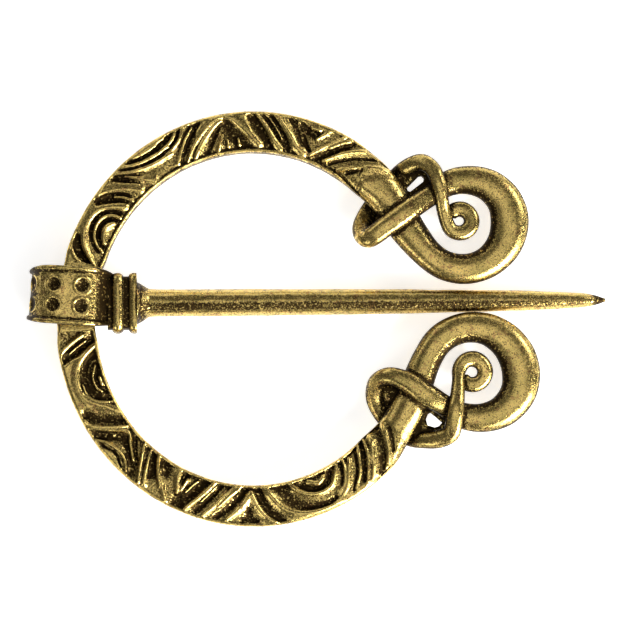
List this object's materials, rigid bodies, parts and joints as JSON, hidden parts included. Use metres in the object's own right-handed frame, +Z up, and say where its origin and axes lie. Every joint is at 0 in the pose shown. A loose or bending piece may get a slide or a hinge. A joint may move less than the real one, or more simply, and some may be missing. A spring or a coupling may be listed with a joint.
{
  "type": "fibula brooch",
  "caption": "Penannular cloak brooch: an open carved hoop with knotted ring ends, and a straight pin whose collar turns on the hoop.",
  "frame": {"origin": "centre of the bounding box, at the height that the brooch rests on", "axes": "+X from the collar towards the tip of the pin, +Z up through the carved face, +Y across the gap in the hoop"},
  "size_m": [0.0598, 0.0428, 0.0069],
  "materials": {
    "hoop": "antique gold, dark in the recesses and bright on the raised lines",
    "pin": "antique gold, brushed along the shaft and dark in the dimples"
  },
  "bodies": {
    "hoop": {"hoop": "hoop"},
    "pin": {"pin": "pin"}
  },
  "joints": [
    {"name": "pin_swing", "type": "hinge", "parent": "hoop", "child": "pin", "pos_m": [-0.02475, 0.00212, 0.00335], "axis": [-0.061, -0.9981, 0], "range_deg": [0, 185]}
  ]
}
